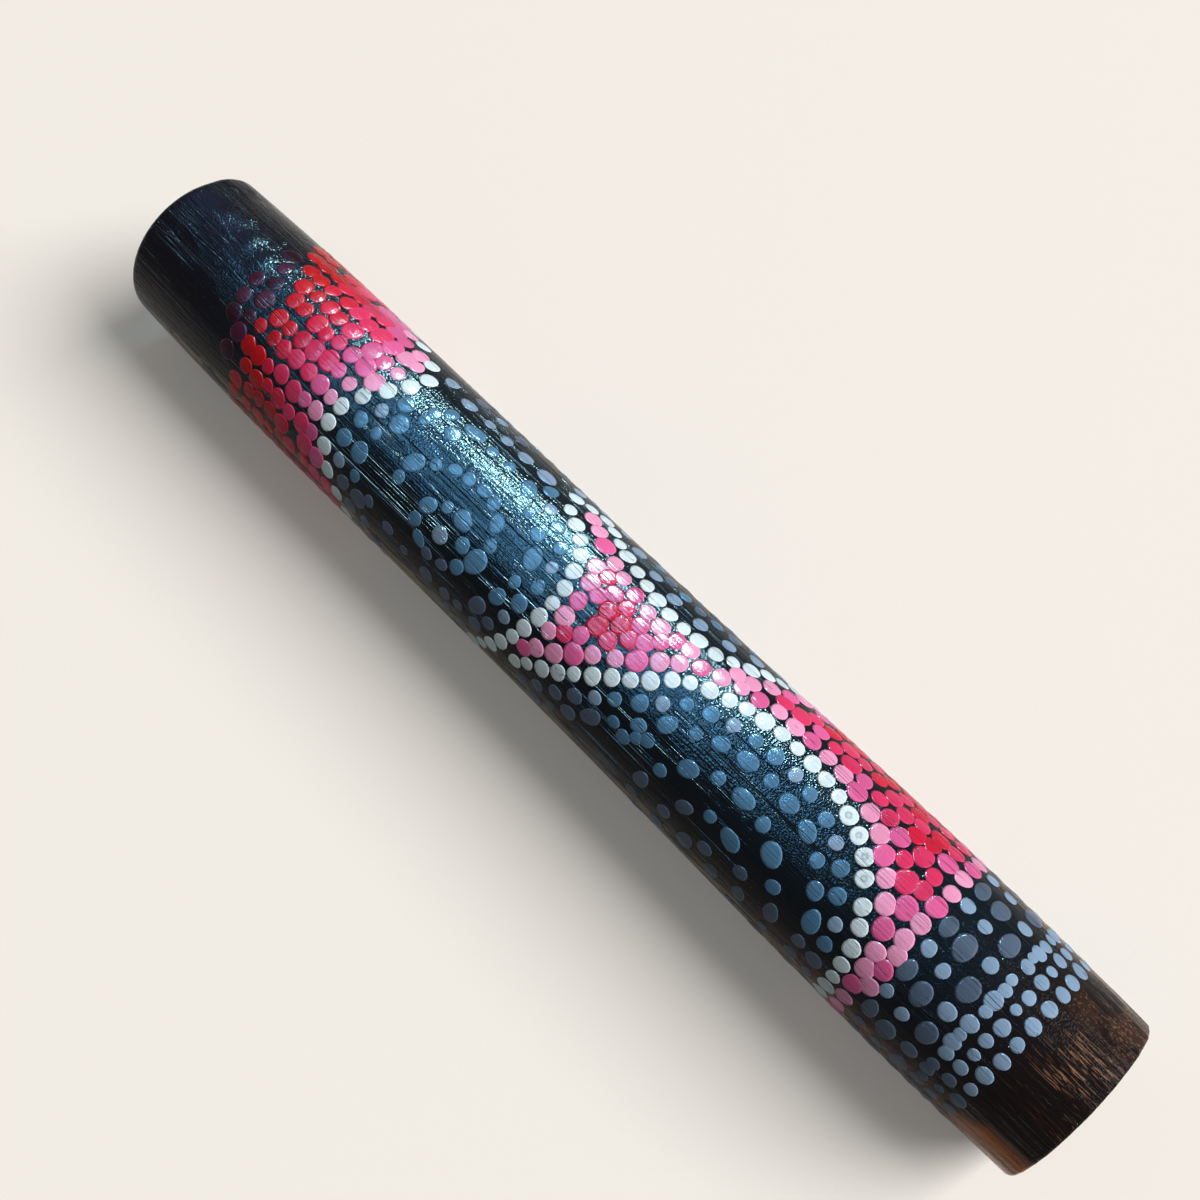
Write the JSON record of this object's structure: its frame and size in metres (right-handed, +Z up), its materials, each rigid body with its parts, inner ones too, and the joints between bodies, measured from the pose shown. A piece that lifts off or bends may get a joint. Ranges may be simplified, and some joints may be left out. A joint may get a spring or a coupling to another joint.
{
  "type": "bamboo shaker",
  "caption": "Straight bamboo tube shaker, closed at both ends by glued wooden discs, with loose seeds inside that run from end to end and rattle when it is shaken or tipped.",
  "frame": {"origin": "under the middle of the tube, on the surface that it lies on", "axes": "+X along the tube towards its right end, +Z up"},
  "size_m": [0.25, 0.0376, 0.0374],
  "materials": {
    "lacquered_bamboo": "gloss",
    "disc_wood": "satin",
    "seed_shell": "satin",
    "paint_plum": "satin",
    "paint_red": "satin",
    "paint_crimson": "satin",
    "paint_rose": "satin",
    "paint_pink": "satin",
    "paint_light_pink": "satin",
    "paint_white": "satin",
    "paint_pale_blue": "satin",
    "paint_blue": "satin",
    "paint_slate": "satin"
  },
  "bodies": {
    "tube": {"bamboo_tube": "lacquered_bamboo", "left_end_disc": "disc_wood", "right_end_disc": "disc_wood"},
    "seed_a1": {"seed_a1": "seed_shell"},
    "seed_a2": {"seed_a2": "seed_shell"},
    "seed_a3": {"seed_a3": "seed_shell"},
    "seed_a4": {"seed_a4": "seed_shell"},
    "seed_a5": {"seed_a5": "seed_shell"},
    "seed_b1": {"seed_b1": "seed_shell"},
    "seed_b2": {"seed_b2": "seed_shell"},
    "seed_b3": {"seed_b3": "seed_shell"},
    "seed_b4": {"seed_b4": "seed_shell"},
    "seed_b5": {"seed_b5": "seed_shell"},
    "seed_b6": {"seed_b6": "seed_shell"},
    "seed_c1": {"seed_c1": "seed_shell"},
    "seed_c2": {"seed_c2": "seed_shell"},
    "seed_c3": {"seed_c3": "seed_shell"},
    "seed_c4": {"seed_c4": "seed_shell"},
    "seed_c5": {"seed_c5": "seed_shell"},
    "seed_c6": {"seed_c6": "seed_shell"},
    "seed_c7": {"seed_c7": "seed_shell"},
    "seed_d1": {"seed_d1": "seed_shell"},
    "seed_d2": {"seed_d2": "seed_shell"},
    "seed_d3": {"seed_d3": "seed_shell"},
    "seed_d4": {"seed_d4": "seed_shell"},
    "seed_d5": {"seed_d5": "seed_shell"},
    "seed_d6": {"seed_d6": "seed_shell"},
    "seed_d7": {"seed_d7": "seed_shell"},
    "seed_e1": {"seed_e1": "seed_shell"},
    "seed_e2": {"seed_e2": "seed_shell"},
    "seed_e3": {"seed_e3": "seed_shell"},
    "seed_e4": {"seed_e4": "seed_shell"},
    "seed_e5": {"seed_e5": "seed_shell"},
    "seed_e6": {"seed_e6": "seed_shell"},
    "seed_f1": {"seed_f1": "seed_shell"},
    "seed_f2": {"seed_f2": "seed_shell"},
    "seed_f3": {"seed_f3": "seed_shell"},
    "seed_f4": {"seed_f4": "seed_shell"},
    "seed_f5": {"seed_f5": "seed_shell"},
    "seed_g1": {"seed_g1": "seed_shell"},
    "seed_g2": {"seed_g2": "seed_shell"},
    "seed_g3": {"seed_g3": "seed_shell"},
    "seed_g4": {"seed_g4": "seed_shell"},
    "seed_h1": {"seed_h1": "seed_shell"},
    "seed_h2": {"seed_h2": "seed_shell"},
    "seed_h3": {"seed_h3": "seed_shell"},
    "seed_h4": {"seed_h4": "seed_shell"},
    "seed_h5": {"seed_h5": "seed_shell"},
    "seed_i1": {"seed_i1": "seed_shell"},
    "seed_i2": {"seed_i2": "seed_shell"},
    "seed_i3": {"seed_i3": "seed_shell"},
    "seed_i4": {"seed_i4": "seed_shell"}
  },
  "joints": [
    {"name": "seed_a1_run", "type": "slide", "parent": "tube", "child": "seed_a1", "axis": [1, 0, 0], "range_m": [0, 0.2112]},
    {"name": "seed_a2_run", "type": "slide", "parent": "tube", "child": "seed_a2", "axis": [1, 0, 0], "range_m": [0, 0.2112]},
    {"name": "seed_a3_run", "type": "slide", "parent": "tube", "child": "seed_a3", "axis": [1, 0, 0], "range_m": [0, 0.2112]},
    {"name": "seed_a4_run", "type": "slide", "parent": "tube", "child": "seed_a4", "axis": [1, 0, 0], "range_m": [0, 0.2112]},
    {"name": "seed_a5_run", "type": "slide", "parent": "tube", "child": "seed_a5", "axis": [1, 0, 0], "range_m": [0, 0.2112]},
    {"name": "seed_b1_run", "type": "slide", "parent": "tube", "child": "seed_b1", "axis": [1, 0, 0], "range_m": [-0.00265, 0.20325]},
    {"name": "seed_b2_run", "type": "slide", "parent": "tube", "child": "seed_b2", "axis": [1, 0, 0], "range_m": [-0.00265, 0.20325]},
    {"name": "seed_b3_run", "type": "slide", "parent": "tube", "child": "seed_b3", "axis": [1, 0, 0], "range_m": [-0.00265, 0.20325]},
    {"name": "seed_b4_run", "type": "slide", "parent": "tube", "child": "seed_b4", "axis": [1, 0, 0], "range_m": [-0.00265, 0.20325]},
    {"name": "seed_b5_run", "type": "slide", "parent": "tube", "child": "seed_b5", "axis": [1, 0, 0], "range_m": [-0.00265, 0.20325]},
    {"name": "seed_b6_run", "type": "slide", "parent": "tube", "child": "seed_b6", "axis": [1, 0, 0], "range_m": [-0.00265, 0.20325]},
    {"name": "seed_c1_run", "type": "slide", "parent": "tube", "child": "seed_c1", "axis": [1, 0, 0], "range_m": [0, 0.2006]},
    {"name": "seed_c2_run", "type": "slide", "parent": "tube", "child": "seed_c2", "axis": [1, 0, 0], "range_m": [0, 0.2006]},
    {"name": "seed_c3_run", "type": "slide", "parent": "tube", "child": "seed_c3", "axis": [1, 0, 0], "range_m": [0, 0.2006]},
    {"name": "seed_c4_run", "type": "slide", "parent": "tube", "child": "seed_c4", "axis": [1, 0, 0], "range_m": [0, 0.2006]},
    {"name": "seed_c5_run", "type": "slide", "parent": "tube", "child": "seed_c5", "axis": [1, 0, 0], "range_m": [0, 0.2006]},
    {"name": "seed_c6_run", "type": "slide", "parent": "tube", "child": "seed_c6", "axis": [1, 0, 0], "range_m": [0, 0.2006]},
    {"name": "seed_c7_run", "type": "slide", "parent": "tube", "child": "seed_c7", "axis": [1, 0, 0], "range_m": [0, 0.2006]},
    {"name": "seed_d1_run", "type": "slide", "parent": "tube", "child": "seed_d1", "axis": [1, 0, 0], "range_m": [-0.00265, 0.19795]},
    {"name": "seed_d2_run", "type": "slide", "parent": "tube", "child": "seed_d2", "axis": [1, 0, 0], "range_m": [-0.00265, 0.19795]},
    {"name": "seed_d3_run", "type": "slide", "parent": "tube", "child": "seed_d3", "axis": [1, 0, 0], "range_m": [-0.00265, 0.19795]},
    {"name": "seed_d4_run", "type": "slide", "parent": "tube", "child": "seed_d4", "axis": [1, 0, 0], "range_m": [-0.00265, 0.19795]},
    {"name": "seed_d5_run", "type": "slide", "parent": "tube", "child": "seed_d5", "axis": [1, 0, 0], "range_m": [-0.00265, 0.19795]},
    {"name": "seed_d6_run", "type": "slide", "parent": "tube", "child": "seed_d6", "axis": [1, 0, 0], "range_m": [-0.00265, 0.19795]},
    {"name": "seed_d7_run", "type": "slide", "parent": "tube", "child": "seed_d7", "axis": [1, 0, 0], "range_m": [-0.00265, 0.19795]},
    {"name": "seed_e1_run", "type": "slide", "parent": "tube", "child": "seed_e1", "axis": [1, 0, 0], "range_m": [0, 0.2059]},
    {"name": "seed_e2_run", "type": "slide", "parent": "tube", "child": "seed_e2", "axis": [1, 0, 0], "range_m": [0, 0.2059]},
    {"name": "seed_e3_run", "type": "slide", "parent": "tube", "child": "seed_e3", "axis": [1, 0, 0], "range_m": [0, 0.2059]},
    {"name": "seed_e4_run", "type": "slide", "parent": "tube", "child": "seed_e4", "axis": [1, 0, 0], "range_m": [0, 0.2059]},
    {"name": "seed_e5_run", "type": "slide", "parent": "tube", "child": "seed_e5", "axis": [1, 0, 0], "range_m": [0, 0.2059]},
    {"name": "seed_e6_run", "type": "slide", "parent": "tube", "child": "seed_e6", "axis": [1, 0, 0], "range_m": [0, 0.2059]},
    {"name": "seed_f1_run", "type": "slide", "parent": "tube", "child": "seed_f1", "axis": [1, 0, 0], "range_m": [-0.00265, 0.20855]},
    {"name": "seed_f2_run", "type": "slide", "parent": "tube", "child": "seed_f2", "axis": [1, 0, 0], "range_m": [-0.00265, 0.20855]},
    {"name": "seed_f3_run", "type": "slide", "parent": "tube", "child": "seed_f3", "axis": [1, 0, 0], "range_m": [-0.00265, 0.20855]},
    {"name": "seed_f4_run", "type": "slide", "parent": "tube", "child": "seed_f4", "axis": [1, 0, 0], "range_m": [-0.00265, 0.20855]},
    {"name": "seed_f5_run", "type": "slide", "parent": "tube", "child": "seed_f5", "axis": [1, 0, 0], "range_m": [-0.00265, 0.20855]},
    {"name": "seed_g1_run", "type": "slide", "parent": "tube", "child": "seed_g1", "axis": [1, 0, 0], "range_m": [0, 0.2165]},
    {"name": "seed_g2_run", "type": "slide", "parent": "tube", "child": "seed_g2", "axis": [1, 0, 0], "range_m": [0, 0.2165]},
    {"name": "seed_g3_run", "type": "slide", "parent": "tube", "child": "seed_g3", "axis": [1, 0, 0], "range_m": [0, 0.2165]},
    {"name": "seed_g4_run", "type": "slide", "parent": "tube", "child": "seed_g4", "axis": [1, 0, 0], "range_m": [0, 0.2165]},
    {"name": "seed_h1_run", "type": "slide", "parent": "tube", "child": "seed_h1", "axis": [1, 0, 0], "range_m": [-0.00265, 0.20855]},
    {"name": "seed_h2_run", "type": "slide", "parent": "tube", "child": "seed_h2", "axis": [1, 0, 0], "range_m": [-0.00265, 0.20855]},
    {"name": "seed_h3_run", "type": "slide", "parent": "tube", "child": "seed_h3", "axis": [1, 0, 0], "range_m": [-0.00265, 0.20855]},
    {"name": "seed_h4_run", "type": "slide", "parent": "tube", "child": "seed_h4", "axis": [1, 0, 0], "range_m": [-0.00265, 0.20855]},
    {"name": "seed_h5_run", "type": "slide", "parent": "tube", "child": "seed_h5", "axis": [1, 0, 0], "range_m": [-0.00265, 0.20855]},
    {"name": "seed_i1_run", "type": "slide", "parent": "tube", "child": "seed_i1", "axis": [1, 0, 0], "range_m": [0, 0.2165]},
    {"name": "seed_i2_run", "type": "slide", "parent": "tube", "child": "seed_i2", "axis": [1, 0, 0], "range_m": [0, 0.2165]},
    {"name": "seed_i3_run", "type": "slide", "parent": "tube", "child": "seed_i3", "axis": [1, 0, 0], "range_m": [0, 0.2165]},
    {"name": "seed_i4_run", "type": "slide", "parent": "tube", "child": "seed_i4", "axis": [1, 0, 0], "range_m": [0, 0.2165]}
  ],
  "couplings": [
    {"joint": "seed_a2_run", "follows": "seed_a1_run", "ratio": 1},
    {"joint": "seed_a3_run", "follows": "seed_a1_run", "ratio": 1},
    {"joint": "seed_a4_run", "follows": "seed_a1_run", "ratio": 1},
    {"joint": "seed_a5_run", "follows": "seed_a1_run", "ratio": 1},
    {"joint": "seed_b2_run", "follows": "seed_b1_run", "ratio": 1},
    {"joint": "seed_b3_run", "follows": "seed_b1_run", "ratio": 1},
    {"joint": "seed_b4_run", "follows": "seed_b1_run", "ratio": 1},
    {"joint": "seed_b5_run", "follows": "seed_b1_run", "ratio": 1},
    {"joint": "seed_b6_run", "follows": "seed_b1_run", "ratio": 1},
    {"joint": "seed_c2_run", "follows": "seed_c1_run", "ratio": 1},
    {"joint": "seed_c3_run", "follows": "seed_c1_run", "ratio": 1},
    {"joint": "seed_c4_run", "follows": "seed_c1_run", "ratio": 1},
    {"joint": "seed_c5_run", "follows": "seed_c1_run", "ratio": 1},
    {"joint": "seed_c6_run", "follows": "seed_c1_run", "ratio": 1},
    {"joint": "seed_c7_run", "follows": "seed_c1_run", "ratio": 1},
    {"joint": "seed_d2_run", "follows": "seed_d1_run", "ratio": 1},
    {"joint": "seed_d3_run", "follows": "seed_d1_run", "ratio": 1},
    {"joint": "seed_d4_run", "follows": "seed_d1_run", "ratio": 1},
    {"joint": "seed_d5_run", "follows": "seed_d1_run", "ratio": 1},
    {"joint": "seed_d6_run", "follows": "seed_d1_run", "ratio": 1},
    {"joint": "seed_d7_run", "follows": "seed_d1_run", "ratio": 1},
    {"joint": "seed_e2_run", "follows": "seed_e1_run", "ratio": 1},
    {"joint": "seed_e3_run", "follows": "seed_e1_run", "ratio": 1},
    {"joint": "seed_e4_run", "follows": "seed_e1_run", "ratio": 1},
    {"joint": "seed_e5_run", "follows": "seed_e1_run", "ratio": 1},
    {"joint": "seed_e6_run", "follows": "seed_e1_run", "ratio": 1},
    {"joint": "seed_f2_run", "follows": "seed_f1_run", "ratio": 1},
    {"joint": "seed_f3_run", "follows": "seed_f1_run", "ratio": 1},
    {"joint": "seed_f4_run", "follows": "seed_f1_run", "ratio": 1},
    {"joint": "seed_f5_run", "follows": "seed_f1_run", "ratio": 1},
    {"joint": "seed_g2_run", "follows": "seed_g1_run", "ratio": 1},
    {"joint": "seed_g3_run", "follows": "seed_g1_run", "ratio": 1},
    {"joint": "seed_g4_run", "follows": "seed_g1_run", "ratio": 1},
    {"joint": "seed_h2_run", "follows": "seed_h1_run", "ratio": 1},
    {"joint": "seed_h3_run", "follows": "seed_h1_run", "ratio": 1},
    {"joint": "seed_h4_run", "follows": "seed_h1_run", "ratio": 1},
    {"joint": "seed_h5_run", "follows": "seed_h1_run", "ratio": 1},
    {"joint": "seed_i2_run", "follows": "seed_i1_run", "ratio": 1},
    {"joint": "seed_i3_run", "follows": "seed_i1_run", "ratio": 1},
    {"joint": "seed_i4_run", "follows": "seed_i1_run", "ratio": 1}
  ]
}
